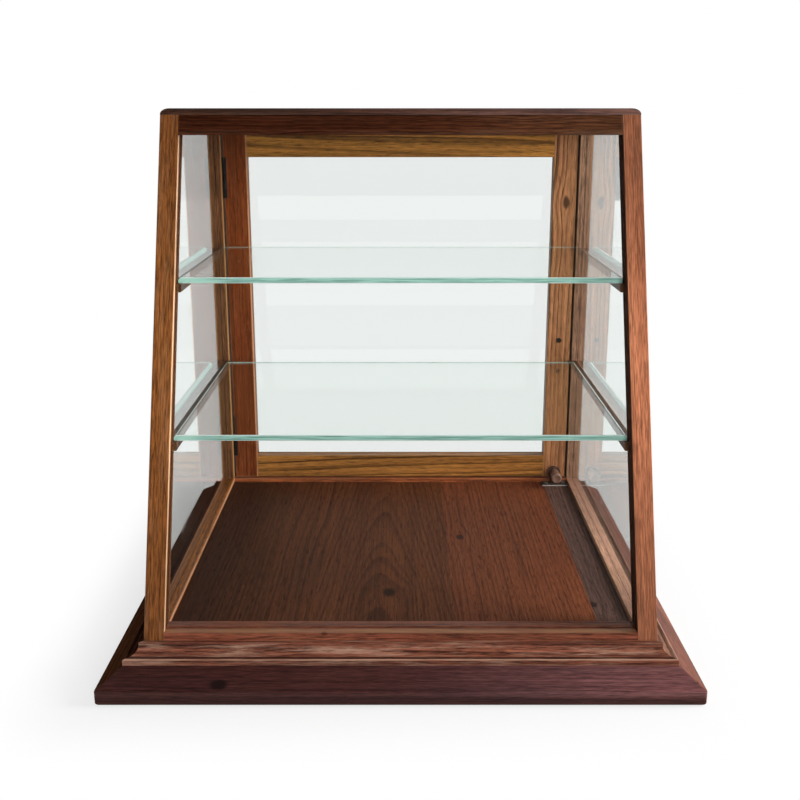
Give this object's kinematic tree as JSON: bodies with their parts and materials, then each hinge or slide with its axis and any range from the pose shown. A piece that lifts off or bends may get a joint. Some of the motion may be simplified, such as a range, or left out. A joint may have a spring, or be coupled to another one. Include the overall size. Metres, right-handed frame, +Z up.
{
  "type": "glass display cabinet",
  "caption": "Wooden display cabinet with a slanted glass front, glass sides, clear glass shelves, a moulded base and a hinged glass door at the back.",
  "frame": {"origin": "on the ground under the middle of the base", "axes": "+X to the right of someone who looks at the slanted front, +Y towards the rear door, +Z up"},
  "size_m": [0.569, 0.555, 0.537],
  "materials": {
    "plinth_wood": "dark waxed, worn",
    "moulding_wood": "reddish brown, worn satin",
    "frame_wood": "golden to reddish brown satin varnish",
    "top_wood": "dark greyish brown satin",
    "floor_wood": "dark brown satin",
    "door_wood": "golden ochre satin varnish",
    "pane_glass": "clear, polished",
    "shelf_glass": "clear with turquoise ground edges",
    "hinge_metal": "black, satin",
    "catch_metal": "dark bronze brown, satin",
    "strike_metal": "plain steel, slightly dull"
  },
  "bodies": {
    "case": {"plinth_front": "plinth_wood", "plinth_back": "plinth_wood", "plinth_left": "plinth_wood", "plinth_right": "plinth_wood", "moulding_front": "moulding_wood", "moulding_back": "moulding_wood", "moulding_left": "moulding_wood", "moulding_right": "moulding_wood", "front_left_stile": "frame_wood", "front_right_stile": "frame_wood", "front_top_rail": "frame_wood", "front_bottom_rail": "frame_wood", "left_bottom_rail": "frame_wood", "right_bottom_rail": "frame_wood", "left_top_rail": "frame_wood", "right_top_rail": "frame_wood", "left_back_post": "frame_wood", "right_back_post": "frame_wood", "back_sill": "frame_wood", "back_top_rail": "frame_wood", "lower_left_ledge": "frame_wood", "lower_right_ledge": "frame_wood", "upper_left_ledge": "frame_wood", "upper_right_ledge": "frame_wood", "top_board": "top_wood", "floor_board_1": "floor_wood", "floor_board_2": "floor_wood", "floor_board_3": "floor_wood", "floor_board_4": "floor_wood", "front_glass": "pane_glass", "left_glass": "pane_glass", "right_glass": "pane_glass", "lower_shelf": "shelf_glass", "upper_shelf": "shelf_glass", "upper_hinge_frame_leaf": "hinge_metal", "upper_hinge_pin": "hinge_metal", "lower_hinge_frame_leaf": "hinge_metal", "lower_hinge_pin": "hinge_metal", "hinge_frame_screws": "hinge_metal", "catch_holder": "catch_metal", "catch_barrel": "catch_metal", "catch_screws": "strike_metal"},
    "door": {"door_left_stile": "door_wood", "door_right_stile": "door_wood", "door_top_rail": "door_wood", "door_bottom_rail": "door_wood", "door_top_bead": "door_wood", "door_bottom_bead": "door_wood", "door_left_bead": "door_wood", "door_right_bead": "door_wood", "door_knob": "door_wood", "door_glass": "pane_glass", "upper_hinge_door_leaf": "hinge_metal", "lower_hinge_door_leaf": "hinge_metal", "hinge_door_screws": "hinge_metal", "knob_screw": "hinge_metal", "strike_disc": "strike_metal"}
  },
  "joints": [
    {"name": "door_hinge", "type": "hinge", "parent": "case", "child": "door", "pos_m": [-0.22445, 0.2414, 0.2814], "axis": [0, 0, 1], "range_deg": [0, 180]}
  ]
}
